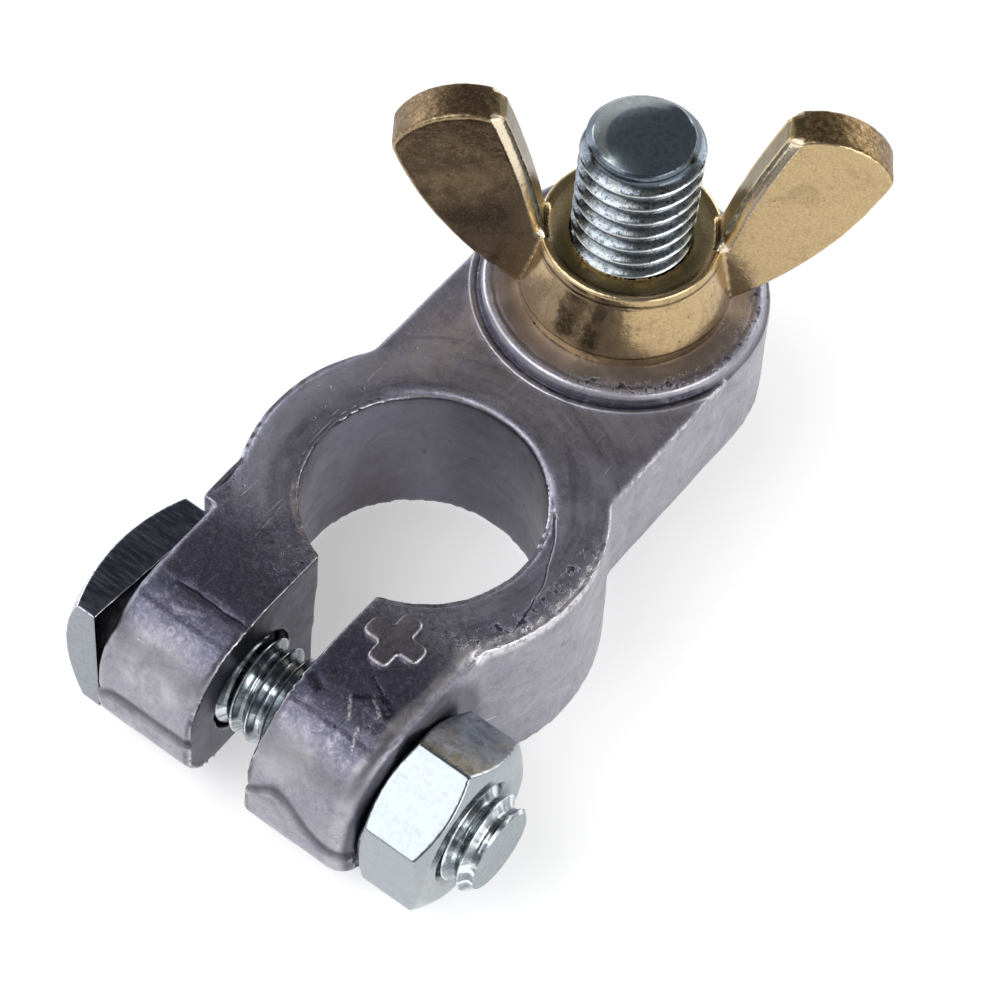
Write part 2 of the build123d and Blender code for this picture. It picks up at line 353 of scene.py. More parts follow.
class Finish(Nodes):
    """A small builder for node materials, so each finish reads as a recipe.

    Its places and sizes are in millimetres. Coats of colour go on one after another.
    """

    def __init__(self, name):
        self.material = bpy.data.materials.new(name)
        super().__init__(self.material)
        self.shader = self.nodes["Principled BSDF"]
        metres = self.node("TexCoord").outputs["Object"]
        self.place = self.mapped((1 / MM, 1 / MM, 1 / MM), where=metres)
        self.x, self.y, self.z = self.parts(self.place)
        self.nx, self.ny, self.nz = self.parts(self.node("NewGeometry").outputs["Normal"])

    def mapped(self, scale, turn=0.0, shift=0.0, where=None):
        """The place stretched, turned about Z and moved along X."""
        return self.node("Mapping", {
            "Vector": self.place if where is None else where,
            "Scale": scale, "Rotation": (0, 0, turn), "Location": (shift, 0, 0),
        }).outputs["Vector"]

    def noise(self, size, detail=4.0, rough=0.55, warp=0.0, where=None):
        """Cloudy pattern whose patches are about this size."""
        return self.node("TexNoise", {
            "Vector": self.place if where is None else where,
            "Scale": 1.0 / size, "Detail": detail, "Roughness": rough, "Distortion": warp,
        }).outputs["Fac"]

    def pits(self, size, reach, where_pitted):
        """Small round pits, one to a cell of this size, where the mask lets them be."""
        cells = self.node("TexVoronoi", {"Vector": self.place, "Scale": 1.0 / size})
        return self.times(self.ramp(cells.outputs["Distance"], 0.05, reach, 1, 0), where_pitted)

    def math(self, what, *values):
        node = self.node("Math", dict(enumerate(values)))
        node.operation = what
        return node.outputs["Value"]

    def folded(self, what, values):
        """One sum worked through several values, from the left."""
        total = values[0]
        for value in values[1:]:
            total = self.math(what, total, value)
        return total

    def times(self, *values):
        return self.folded("MULTIPLY", values)

    def plus(self, *values):
        return self.folded("ADD", values)

    def less(self, *values):
        return self.folded("SUBTRACT", values)

    def most(self, *values):
        return self.folded("MAXIMUM", values)

    def size_of(self, value):
        return self.math("ABSOLUTE", value)

    def blend(self, share, a, b):
        node = self.node("Mix", {"Factor": share})
        node.data_type = "RGBA"
        for name, value in (("A", a), ("B", b)):
            self.put([s for s in node.inputs if s.name == name and s.type == "RGBA"][0], value)
        return [s for s in node.outputs if s.type == "RGBA"][0]

    def coat(self, colour, *shares):
        """Lays a colour over the coats so far, as strongly as the product of the shares."""
        self.colour = self.blend(self.times(*shares), self.colour, colour)

    def raise_by(self, amount, mask):
        self.heights = self.plus(self.heights, self.times(mask, amount))

    def sink_by(self, amount, mask):
        self.heights = self.less(self.heights, self.times(mask, amount))

    def vector(self, *values):
        return self.node("CombineXYZ", dict(enumerate(values))).outputs["Vector"]

    def attribute(self, name):
        node = self.node("Attribute")
        node.attribute_name = name
        return node.outputs["Fac"]

    def line(self, value, middle, half_width):
        """1 on a line where the value is at its middle, 0 away from it."""
        return self.ramp(self.size_of(self.less(value, middle)), 0.0, half_width, 1.0, 0.0)

    def from_axis(self, across, up, centre):
        """Distance from an axis, from the two coordinates across it."""
        side, rise = self.less(across, centre[0]), self.less(up, centre[1])
        return self.math("SQRT", self.math("MULTIPLY_ADD", side, side, self.times(rise, rise)))

    def between(self, value, low, high, soft):
        """1 where the value lies between two limits."""
        return self.times(
            self.ramp(value, low - soft, low + soft), self.ramp(value, high + soft, high - soft),
        )

    def strokes(self, wobble, marks):
        """1 on straight marks seen from above: x, y of both ends and the half width of each."""
        drawn = []
        for x_start, y_start, x_end, y_end, half_width in marks:
            way = Vector((x_end - x_start, y_end - y_start))
            size = way.length
            way.normalize()
            dx, dy = self.less(self.x, x_start), self.less(self.y, y_start)
            along = self.plus(self.times(dx, way.x), self.times(dy, way.y))
            aside = self.less(self.times(dy, way.x), self.times(dx, way.y))
            mark = self.line(self.plus(aside, wobble), 0.0, half_width)
            drawn.append(self.times(mark, self.between(along, 0.0, size, 0.15)))
        return self.most(*drawn)

    def finish(self, roughness, bump_depth=None, bump_strength=0.7, metallic=1.0):
        self.put(self.shader.inputs["Base Color"], self.colour)
        self.put(self.shader.inputs["Roughness"], roughness)
        self.shader.inputs["Metallic"].default_value = metallic
        if bump_depth is not None:
            bump = self.node("Bump", {
                "Height": self.heights, "Distance": bump_depth * MM, "Strength": bump_strength,
            })
            self.put(self.shader.inputs["Normal"], bump.outputs["Normal"])
        return self.material


def cast_skin(name, settings):
    """Blotchy grey alloy with dull patches, pits and scratches."""
    f = Finish(name)
    f.top = f.ramp(f.nz, 0.6, 0.97)
    f.patches = f.noise(2.6, 6, 0.65, 1.0)
    f.grain = f.noise(0.42, 4, 0.65)
    f.speckle = f.noise(0.20, 3, 0.7)
    f.colour = settings.alloy
    blotches(f, settings.alloy_dull)
    scratches_and_pits(f)
    f.rough = f.plus(f.ramp(f.patches, 0.3, 0.7, 0.28, 0.40), f.times(f.top, 0.08))
    return f


def blotches(f, alloy_dull):
    """Clouds of dull and pale skin, with painted shade darkening the tops, darkest on the tops of
    the ears.
    """
    top, patches, grain, speckle = f.top, f.patches, f.grain, f.speckle
    clouds = f.noise(8, 5, 0.6, 0.6)
    f.coat(alloy_dull, f.ramp(clouds, 0.30, 0.52, 0.45), f.ramp(top, 0, 1, 0.10))
    dark_clouds = f.ramp(f.noise(5, 5, 0.62, 0.4), 0.50, 0.66)
    f.coat((0.115, 0.11, 0.155), dark_clouds, f.ramp(top, 0, 1, 0.15, 0.60))
    # painted shade: the ears' tops coated darker
    ear_tops_shade = f.times(top, f.ramp(f.y, -8, -14))
    f.coat((0.055, 0.050, 0.092), ear_tops_shade, 0.60)
    f.coat((0.16, 0.15, 0.19), f.ramp(patches, 0.52, 0.70, 0.0, 0.45))
    f.coat((0.56, 0.54, 0.57), f.ramp(patches, 0.48, 0.32, 0.0, 0.45))
    strong = f.ramp(top, 0, 1, 0.5)
    f.coat((0.08, 0.075, 0.10), f.ramp(grain, 0.52, 0.70, 0.0, 0.60), strong)
    f.coat((0.58, 0.575, 0.65), f.ramp(grain, 0.48, 0.30, 0.0, 0.45), strong)
    f.coat((0.09, 0.085, 0.11), f.ramp(speckle, 0.53, 0.66, 0.0, 0.45), strong)
    f.coat((0.63, 0.62, 0.68), f.ramp(speckle, 0.47, 0.34, 0.0, 0.35), strong)
    f.coat((0.072, 0.068, 0.112), ear_tops_shade, 0.50)
    f.coat((0.25, 0.235, 0.245), f.ramp(top, 0, 1, 0.30, 0.0))
    # lavender and pale clouds on the ring and the tail
    f.coat((0.42, 0.415, 0.52), top, f.ramp(f.y, -9, -4, 0.0, 0.42))
    pale = f.noise(6.5, 3, 0.6, 0.8, f.mapped((1, 1, 1), shift=30))
    pale = f.times(f.ramp(pale, 0.50, 0.62), top)
    f.coat((0.62, 0.61, 0.69), pale, f.ramp(f.y, -9, -4, 0.0, 0.35))


def scratches_and_pits(f):
    long_way = f.mapped((1.0, 0.10, 1.0), 0.5)
    cross_way = f.mapped((1.0, 0.16, 1.0), -0.35, 10)
    scratches = f.most(
        f.line(f.noise(7, 1, 0.4, 0.0, long_way), 0.5, 0.003),
        f.line(f.noise(6, 1, 0.4, 0.0, cross_way), 0.53, 0.0028),
    )
    scratches = f.times(scratches, f.ramp(f.noise(3, 2), 0.53, 0.60))
    f.coat((0.06, 0.055, 0.08), scratches, 0.22)
    pits = f.pits(1.3, 0.13, f.ramp(f.noise(4, 2), 0.52, 0.60))
    f.coat((0.03, 0.028, 0.04), pits, 0.7)
    heights = f.plus(
        f.times(f.noise(0.8, 6, 0.62), 0.45), f.times(f.noise(3, 3), 0.7), f.times(f.speckle, 0.12),
    )
    # the noses of the ears are smoother
    nose = f.times(f.ramp(f.y, -16.5, -18.5), f.ramp(f.nz, 0.97, 0.90))
    heights = f.times(heights, f.ramp(nose, 0, 1, 0.85, 0.40))
    f.heights = f.less(heights, f.times(pits, 0.5), f.times(scratches, 0.2))


def measure(f):
    """Distances and masks that the casting's own marks share."""
    f.from_post = f.from_axis(f.x, f.y, (0, 0))
    f.from_stud = f.from_axis(f.x, f.y, STUD_AXIS)
    f.wobble = f.times(f.less(f.noise(2.2, 3), 0.5), 0.5)
    f.upright = f.ramp(f.size_of(f.nz), 0.55, 0.25)
    f.on_top = f.ramp(f.nz, 0.30, 0.55)


def bore_and_slot(f):
    """Painted shade darkens the walls of the bore and the slot, in drifting clouds."""
    bore = f.times(f.ramp(f.from_post, 11.6, 10.9), f.upright)
    slot = f.times(f.ramp(f.size_of(f.x), 3.3, 2.9), f.upright, f.ramp(f.y, -8.5, -9.5))
    # painted shade on the bore and slot walls, darker towards +X
    drift = f.noise(14, 2, 0.4, 0.0, f.mapped((1.0, 1.0, 0.35)))
    shade = (0.19, 0.185, 0.24)
    for share, tone in (
        (f.ramp(drift, 0.36, 0.64), (0.10, 0.088, 0.105)),
        (f.ramp(f.x, -6, -2, 0.0, 0.80), (0.070, 0.065, 0.09)),
        (f.ramp(f.patches, 0.50, 0.66, 0.0, 0.15), (0.15, 0.12, 0.12)),
        (f.ramp(f.grain, 0.54, 0.74, 0.0, 0.3), (0.05, 0.045, 0.06)),
    ):
        shade = f.blend(share, shade, tone)
    f.coat(shade, f.most(bore, slot), 0.86)


def dark_lines(f):
    """Witness mark of the bore's core, crease, old knocks, and painted shade in the grooves round
    the boss.
    """
    x, y, wobble = f.x, f.y, f.wobble
    witness = f.plus(f.from_axis(x, y, (-5.43, -6.11)), wobble)
    witness = f.times(f.line(witness, 17.83, 0.17), f.between(y, -5.5, 5.0, 0.3), f.ramp(x, 5, 7))
    crease = f.line(f.plus(y, f.times(wobble, 1.2)), -17.3, 0.16)
    crease = f.times(crease, f.between(x, -9.0, -2.9, 0.5))
    knocks = f.strokes(wobble, (
        (6.9, -14.9, 8.6, -15.8, 0.34), (8.4, -15.7, 10.1, -16.7, 0.80),
        (6.3, -17.3, 8.0, -16.1, 0.42), (3.1, -17.2, 4.6, -18.1, 0.80),
    ))
    knocks = f.times(knocks, f.ramp(f.noise(0.6, 3, 0.7), 0.36, 0.52, 0.25))
    pin_hole = f.ramp(f.from_axis(x, y, (13.1, -4.3)), 0.26, 0.16)
    dark = f.times(f.most(witness, crease, knocks, pin_hole), f.on_top)
    # painted shade in the groove at the foot of the boss
    moat_shade = f.times(
        f.line(f.from_stud, 11.42, 0.42), f.between(f.z, 14.9, 15.75, 0.12),
        f.ramp(x, -9, -4, 0.30, 0.85),
    )
    inner = f.line(f.plus(f.from_stud, wobble), 10.30, 0.28)
    dark = f.most(dark, moat_shade, f.times(inner, f.top, 0.45))
    f.coat((0.022, 0.020, 0.035), dark, 0.85)
    f.sink_by(0.7, dark)


def light_lines(f):
    """Painted highlights on the boss's rim and on the bead round its foot; the mould's parting
    line, flash, a small blister and grazes.
    """
    x, y, z, wobble, from_stud = f.x, f.y, f.z, f.wobble, f.from_stud
    # painted highlight on the bead round the foot of the boss
    foot_bead_highlight = f.times(f.line(from_stud, 11.95, 0.17), f.top, f.ramp(y, 24, 20))
    parting = f.times(
        f.line(f.plus(z, wobble), 5.5, 0.13), f.upright,
        f.ramp(f.noise(2.5, 2), 0.44, 0.56), f.ramp(f.from_post, 13.2, 13.8),
        f.between(x, 10.5, 15.5, 0.5),
    )
    blister = f.plus(f.from_axis(x, y, (-7.3, -20.6)), wobble)
    blister = f.times(f.line(blister, 0.28, 0.20), f.ramp(z, 12.5, 13, 0.0, 0.22))
    # painted highlight on the rounded rim of the boss
    lip = f.times(
        f.line(from_stud, 10.95, 0.30), f.ramp(y, 26, 20), f.ramp(z, 15.9, 16.1, 0.0, 0.8),
    )
    flash = f.times(
        f.line(f.plus(x, wobble), 11.35, 0.30), f.between(y, 10, 24, 1),
        f.ramp(z, 14.6, 14.9), f.ramp(f.noise(0.9, 3, 0.6), 0.47, 0.58),
    )
    grazes = f.strokes(wobble, (
        (8.1, -16.3, 9.7, -17.4, 0.22), (6.6, -17.0, 7.7, -18.6, 0.24),
        (8.6, -18.6, 9.4, -20.4, 0.26),
    ))
    broken = f.ramp(f.noise(0.5, 3, 0.7), 0.42, 0.56, 0.1, 0.8)
    grazes = f.times(grazes, f.on_top, broken)
    pale_marks_and_highlights = f.most(foot_bead_highlight, parting, blister, lip, flash, grazes)
    f.coat((0.70, 0.68, 0.71), pale_marks_and_highlights, 0.8)
    f.raise_by(0.5, pale_marks_and_highlights)


def ring_wear(f):
    """Faint curved wear that follows the ring, a painted sheen on the ring's left top, and a
    painted reflection of the brass round the wing nut.
    """
    round_ring = f.times(f.math("ARCTAN2", f.y, f.x), 1.6)
    swirl = f.vector(f.from_post, round_ring, f.times(f.z, 0.3))
    wear = f.noise(0.9, 4, 0.6, 0.3, swirl)
    on_ring = f.times(f.top, f.ramp(f.y, -11, -7), f.ramp(f.from_post, 17, 14, 0.35))
    f.coat((0.12, 0.115, 0.15), f.ramp(wear, 0.52, 0.66, 0.0, 0.40), on_ring)
    f.coat((0.60, 0.585, 0.62), f.ramp(wear, 0.47, 0.34, 0.0, 0.40), on_ring)
    # painted sheen on the ring's left top
    left = f.times(
        f.between(f.plus(f.from_post, f.wobble), 11.4, 13.4, 0.8),
        f.ramp(f.x, 3, -6), f.top, f.between(f.y, -8, 22, 2), f.ramp(f.patches, 0.62, 0.44, 0.35),
    )
    f.coat((0.58, 0.575, 0.65), left, 0.62)
    # painted reflection of the brass, browner round the wing nut
    brass_reflection = f.ramp(f.plus(f.from_stud, f.wobble), 11.0, 9.6)
    f.coat((0.42, 0.36, 0.32), brass_reflection, f.top, 0.55)


def ear_sides(f):
    """The nut's ear: a painted highlight on its rolled edge, then a painted shadow close round the
    nut.
    """
    patches = f.patches
    ear = f.times(f.ramp(f.x, 9.6, 10.4), f.ramp(f.y, -7, -9))
    rolled_edge_highlight = f.times(ear, f.between(f.nx, 0.07, 0.56, 0.08), f.ramp(f.y, -19, -16.5, 0.55))
    f.coat((0.64, 0.62, 0.64), rolled_edge_highlight, f.ramp(patches, 0.62, 0.44, 0.30, 0.75))
    shadow_by_nut = f.ramp(f.from_axis(f.y, f.z, BOLT_AXIS), 9.8, 8.2)
    f.coat((0.050, 0.046, 0.066), shadow_by_nut, ear, f.ramp(f.nx, 0.58, 0.80), 0.80)
    # a painted sheen along the middle of each ear's nose
    on_nose = f.most(f.between(f.x, -9.6, -4.6, 1.0), f.between(f.x, 3.6, 7.6, 1.0))
    sheen = f.times(f.between(f.nz, 0.30, 0.80, 0.16), f.ramp(f.y, -17.5, -19.5))
    f.coat((0.66, 0.65, 0.67), sheen, on_nose, f.ramp(patches, 0.60, 0.44, 0.45), 0.36)


def pitted_rims(f):
    """Dark specks inside the ring's right rim, a painted highlight in flecks on it, and two pitted
    spots.
    """
    x, y = f.x, f.y
    side = f.times(f.ramp(x, 6, 9), f.between(y, -9, 3.5, 1.0))
    ring = f.times(f.between(f.from_post, 12.3, 13.7, 0.4), side)
    boss = f.times(f.between(f.from_stud, 9.8, 10.9, 0.3), f.ramp(x, 1, 4))
    corner = f.times(f.between(x, -4.9, -2.7, 0.4), f.between(y, -12.5, -9.0, 0.8))
    specks = f.ramp(f.noise(0.75, 4, 0.7), 0.53, 0.60)
    pitted = f.times(f.most(ring, boss, corner), f.top, specks)
    f.coat((0.035, 0.03, 0.05), pitted, 0.75)
    f.sink_by(0.6, pitted)
    # painted highlight along the ring's right rim
    rim_highlight_flecks = f.ramp(f.noise(0.6, 4, 0.7), 0.60, 0.50, 0.15)
    rim = f.times(f.between(f.from_post, 13.45, 14.7, 0.25), f.ramp(f.z, 13.7, 14.4), side)
    f.coat((0.84, 0.82, 0.84), rim, rim_highlight_flecks, 0.72)


def bright_edges_and_dark_hollows(f):
    """Bright edges, worn and partly painted highlight, broken up; darker in the hollows, and
    painted shade under the toes' step.
    """
    edge = f.attribute("standing_out")
    broken = f.ramp(f.noise(0.5, 3, 0.6), 0.34, 0.56)
    left = f.most(f.ramp(f.from_post, 13.2, 12.4), f.ramp(f.y, 14, 18))
    bright_edge_zone = f.most(f.ramp(f.x, -5, -2, 0.15), f.times(left, 0.6))
    worn_and_highlit = f.times(f.ramp(edge, 0.05, 0.20), broken, bright_edge_zone)
    f.coat((0.68, 0.66, 0.69), worn_and_highlit, 0.75)
    # darker in the hollows, and painted shade under the toes' step
    hollows_and_step_shade = f.most(f.ramp(edge, -0.035, -0.16), f.attribute("under_step"))
    f.coat((0.035, 0.032, 0.05), hollows_and_step_shade, 0.75)
    f.rough = f.less(f.rough, f.times(worn_and_highlit, 0.10))


CAST_BUMP = (0.10, 0.85)    # depth and strength


def die_cast_alloy(settings):
    f = cast_skin("die_cast_alloy", settings)
    measure(f)
    for step in (
        bore_and_slot, dark_lines, light_lines, ring_wear, ear_sides, pitted_rims, bright_edges_and_dark_hollows,
    ):
        step(f)
    return f.finish(f.rough, *CAST_BUMP)


def die_cast_mark(settings):
    """The raised mark's alloy: browner on top, with a painted highlight on its sloping sides."""
    f = cast_skin("die_cast_alloy_mark", settings)
    f.coat((0.30, 0.255, 0.25), f.ramp(f.patches, 0.40, 0.60, 0.15, 0.60))
    # painted highlight on the mark's sloping sides
    f.coat((0.72, 0.70, 0.72), f.ramp(f.nz, 0.97, 0.6), f.ramp(f.grain, 0.60, 0.44, 0.25, 0.90))
    return f.finish(f.rough, *CAST_BUMP)


def zinc_plate(name, settings, along, mottled=0.0, tinted=1.0):
    """Bright zinc plating with slate streaks and a faint straw tint."""
    f = Finish(name)
    f.shade, f.mottled = settings.zinc_shade, mottled
    f.fine = f.noise(0.45, 4, 0.62)
    f.broad = f.noise(3.0, 4, 0.6, 0.8)
    f.streaks = f.noise(0.28, 3, 0.65, 0.0, f.mapped(along))
    f.upward = f.ramp(f.nz, 0.6, 0.9)
    f.colour = settings.zinc
    f.coat(settings.zinc_tint, f.ramp(f.broad, 0.54, 0.72, 0.0, 0.5 * tinted))
    f.coat((0.32, 0.43, 0.47), f.ramp(f.broad, 0.46, 0.32, 0.0, 0.4 * tinted))
    return f


def faint_streaks(f):
    f.coat(f.shade, f.ramp(f.streaks, 0.44, 0.60, 0.0, 0.06))


def weather(f, wear_and_highlight):
    """Dark specks, and bright wear with a painted highlight wherever the skin turns."""
    fine, mottled = f.fine, f.mottled
    f.coat(f.shade, f.ramp(fine, 0.52, 0.64, 0.0, 0.03 + 0.80 * mottled))
    specks = f.ramp(f.noise(0.32, 4, 0.75), 0.53, 0.60, 0.0, mottled)
    f.coat((0.035, 0.055, 0.085), specks)
    f.coat((0.86, 0.88, 0.89), wear_and_highlight, f.ramp(fine, 0.60, 0.46, 0.3, 0.85))
    f.heights = f.plus(
        f.times(f.streaks, 0.20), f.times(fine, 0.3 + 0.6 * mottled),
        f.times(f.noise(1.3, 2), 0.8 * mottled),
    )


# edges that stand out: bright wear and painted highlight
def worn_and_highlit_corners(f):
    return f.ramp(f.attribute("standing_out"), 0.10, 0.20)


def thread(f, threads, radius, crest):
    """Painted shade in the valleys and painted glints along the crests."""
    valley_shade = f.times(threads, f.ramp(radius, crest - 0.22, crest - 0.55))
    f.coat((0.04, 0.05, 0.065), valley_shade, 0.12 + 0.66 * f.mottled)
    glint = f.times(threads, f.ramp(radius, crest - 0.12, crest - 0.04))
    f.coat((0.78, 0.82, 0.84), glint, f.ramp(f.broad, 0.40, 0.52), 0.8)


def plated(f):
    return f.finish(f.ramp(f.fine, 0.3, 0.7, 0.16, 0.28), 0.02 + 0.035 * f.mottled)


def zinc_plate_bolt(settings):
    """Plating of the bolt: painted slate shade on the upper flat, painted highlights on the edges,
    painted reflection bands along the thread.
    """
    f = zinc_plate("zinc_plate_bolt", settings, (0.14, 1.0, 1.0), mottled=0.2, tinted=0.4)
    f.coat((0.235, 0.24, 0.28), f.ramp(f.x, HEAD_SEAT + 0.5, HEAD_SEAT), 0.65)
    faint_streaks(f)
    # painted shade: the head's upper flat is dull dark slate, scored along the bolt
    on_head = f.ramp(f.x, HEAD_SEAT + 0.1, HEAD_SEAT - 0.1)
    slate_shade = f.blend(f.ramp(f.fine, 0.40, 0.62), (0.21, 0.23, 0.30), (0.14, 0.155, 0.21))
    slate_shade = f.blend(f.ramp(f.streaks, 0.50, 0.60, 0.0, 0.70), slate_shade, (0.070, 0.078, 0.110))
    slate_shade = f.blend(f.ramp(f.streaks, 0.46, 0.36, 0.0, 0.65), slate_shade, (0.38, 0.40, 0.47))
    f.coat(slate_shade, f.upward, on_head)
    # painted highlight, with wear, wherever the forged head's skin turns from one flat to the next
    flattest = f.most(f.size_of(f.nx), f.size_of(f.ny), f.size_of(f.nz))
    weather(f, f.times(f.ramp(flattest, 0.93, 0.80), on_head))
    # painted shadow: the gap behind the head is black
    shadow_behind_head = f.ramp(f.x, HEAD_SEAT + 0.6, HEAD_SEAT + 0.1)
    f.coat((0.012, 0.012, 0.018), f.ramp(f.nx, 0.6, 0.9), shadow_behind_head)
    threads = f.times(f.ramp(f.x, HEAD_SEAT + 1, HEAD_SEAT + 1.5), f.ramp(f.nx, 0.97, 0.90))
    thread(f, threads, f.from_axis(f.y, f.z, BOLT_AXIS), BOLT_CREST)
    tip = bolt_high.x / MM
    end = f.times(f.ramp(f.nx, 0.85, 0.97), f.ramp(f.x, tip - 0.5, tip - 0.2))
    f.coat((0.22, 0.27, 0.29), end, 0.6)
    # painted reflection: dark and bright bands round the thread
    turned = f.math("ARCTAN2", f.less(f.z, BOLT_AXIS[1]), f.less(f.y, BOLT_AXIS[0]))
    round_bolt = f.vector(f.times(turned, 3), f.times(f.x, 0.45))
    reflection_bands = f.noise(1.3, 3, 0.6, 0.3, round_bolt)
    f.coat((0.06, 0.09, 0.13), threads, f.ramp(reflection_bands, 0.54, 0.64, 0.0, 0.50))
    f.coat((0.84, 0.90, 0.92), threads, f.ramp(reflection_bands, 0.52, 0.40, 0.0, 0.90))
    return plated(f)


def zinc_plate_nut(settings):
    """Plating of the nut, with a mottled painted reflection on its upper flat at the rear."""
    f = zinc_plate("zinc_plate_nut", settings, (0.14, 1.0, 1.0))
    # painted reflection on the nut's rear upper flat
    rearward = f.times(f.upward, f.ramp(f.ny, -0.2, 0.2))
    reflected_tone = f.ramp(f.noise(0.9, 4, 0.7, 0.4), 0.46, 0.60, 0.0, 0.50)
    f.coat((0.10, 0.115, 0.125), rearward, reflected_tone)
    reflected_tone = f.ramp(f.noise(1.6, 3, 0.6, 0.4), 0.52, 0.66, 0.0, 0.5)
    f.coat((0.34, 0.26, 0.17), rearward, reflected_tone)
    faint_streaks(f)
    weather(f, worn_and_highlit_corners(f))
    return plated(f)


def zinc_plate_stud(settings):
    """Plating of the stud: painted shade on its left, its end painted dark slate shade with a
    painted highlight crescent.
    """
    f = zinc_plate("zinc_plate_stud", settings, (1.0, 1.0, 0.13), mottled=0.8)
    faint_streaks(f)
    weather(f, worn_and_highlit_corners(f))
    start, tip = stud_low.z / MM + THREAD_START, stud_high.z / MM
    threads = f.times(f.ramp(f.z, start, start + 0.3), f.ramp(f.nz, 0.97, 0.90))
    thread(f, threads, f.from_axis(f.x, f.y, STUD_AXIS), STUD_CREST)
    # painted shade on the stud's left side
    f.coat((0.045, 0.055, 0.08), f.ramp(f.x, -0.5, -4.2, 0.0, 0.72))
    f.coat((0.11, 0.135, 0.165), f.ramp(f.z, tip - 1.3, tip - 0.9, 0.0, 0.80))
    end = f.times(f.ramp(f.z, tip - 0.5, tip - 0.15), f.ramp(f.nz, 0.75, 0.95))
    slate_shade = f.blend(f.ramp(f.fine, 0.45, 0.62), (0.27, 0.33, 0.38), (0.17, 0.215, 0.26))
    from_crescent = f.from_axis(f.x, f.y, (0.62, STUD_Y - 0.20))
    crescent_highlight = f.times(f.ramp(from_crescent, 3.15, 3.45), f.ramp(f.x, 0.3, -0.6), 0.75)
    f.coat(f.blend(crescent_highlight, slate_shade, (0.60, 0.66, 0.66)), end)
    f.heights = f.times(f.heights, f.ramp(end, 0, 1, 1.0, 0.12))
    return plated(f)


# The painted dark reflections on the hub: middle in x, half width, lower and upper end over the
# foot.
HUB_REFLECTIONS = ((-0.1, 0.95, 1.3, 4.3), (2.15, 0.8, 0.9, 3.5))


def across_wings(f, x, y):
    """Part of a direction or place that lies across the wings' plane."""
    return f.size_of(f.less(f.times(x, math.sin(WING_TURN)), f.times(y, math.cos(WING_TURN))))


def tarnish_and_wing_shade(f):
    """Granular tips, and a painted dark reflection on the left wing."""
    outward = f.plus(f.times(f.nx, f.x), f.times(f.ny, f.less(f.y, STUD_Y)), f.times(f.nz, 14))
    f.tips = f.times(
        f.ramp(across_wings(f, f.nx, f.ny), 0.75, 0.45),
        f.ramp(f.over, 12.5, 14.5), f.ramp(outward, 1, 4),
    )
    granular = f.ramp(f.noise(0.42, 4, 0.7), 0.40, 0.58, 0.55)
    f.coat((0.150, 0.094, 0.036), f.tips, granular)
    # painted dark reflection on the left wing
    left_wing_shade = f.times(f.ramp(f.x, -5.5, -7.5), f.ramp(f.from_stud, 7.6, 8.6))
    mottle = f.ramp(f.noise(3.4, 4, 0.6, 0.6), 0.36, 0.62, 0.55)
    f.coat((0.125, 0.080, 0.052), left_wing_shade, mottle, 0.84)


def hub_marks(f):
    """Painted dark reflections low on the hub's front, painted shade in a line at each end of it,
    olive in the dish.
    """
    from_stud, over = f.from_stud, f.over
    wobble = f.times(f.less(f.noise(0.8, 4, 0.75), 0.5), 2.0)
    spots = [
        f.times(
            f.ramp(f.size_of(f.plus(f.less(f.x, middle), wobble)), half + 0.35, half - 0.45),
            f.between(f.less(over, wobble), low, high, 0.6),
        )
        for middle, half, low, high in HUB_REFLECTIONS
    ]
    f.smudges = f.times(
        f.most(*spots), f.ramp(from_stud, 9.2, 8.8),
        f.ramp(f.y, STUD_Y - 5, STUD_Y - 6), f.ramp(f.fine, 0.62, 0.44, 0.70),
    )
    streaks = f.ramp(f.noise(1.1, 3, 0.6, 0.0, f.mapped((1.0, 1.0, 0.12))), 0.50, 0.62)
    f.coat((0.20, 0.14, 0.08), streaks, f.ramp(from_stud, 9.0, 8.6), 0.16)
    clear_of_wings = f.ramp(across_wings(f, f.x, f.less(f.y, STUD_Y)), 2.0, 2.5)
    # painted shade under the collar's lip and at the hub's foot
    under_lip = f.line(f.plus(over, f.times(wobble, 0.10)), 5.85, 0.24)
    f.lines = f.times(
        f.most(under_lip, f.line(over, 0.95, 0.16)), f.ramp(from_stud, 9.3, 9.0),
        f.ramp(from_stud, 6.7, 6.95), clear_of_wings,
    )
    f.coat((0.05, 0.032, 0.015), f.lines, 0.85)
    f.dish = f.times(f.ramp(from_stud, 6.45, 6.0), f.ramp(over, 3.0, 3.5))
    f.coat((0.30, 0.25, 0.13), f.dish, 0.75)


def sand_and_edges(f):
    sand = f.noise(0.20, 3, 0.7)
    f.coat((0.13, 0.085, 0.04), f.ramp(sand, 0.54, 0.66, 0.0, 0.28))
    f.coat((0.86, 0.72, 0.50), f.ramp(sand, 0.46, 0.34, 0.0, 0.22))
    # painted dark reflections on the hub
    f.coat((0.035, 0.026, 0.015), f.smudges, 0.90)
    edge, bevel = f.attribute("standing_out"), f.attribute("worn_bevel")
    f.coat((0.085, 0.075, 0.035), f.ramp(bevel, -0.2, -0.9, 0.0, 0.75))
    f.coat((0.92, 0.80, 0.58), f.ramp(bevel, 0.25, 0.6, 0.0, 0.85))
    # bright edges, worn and partly painted highlight; darker in the hollows
    f.coat((0.88, 0.72, 0.46), f.ramp(edge, 0.06, 0.20, 0.0, 0.9))
    f.coat((0.07, 0.045, 0.02), f.ramp(edge, -0.05, -0.20, 0.0, 0.8))


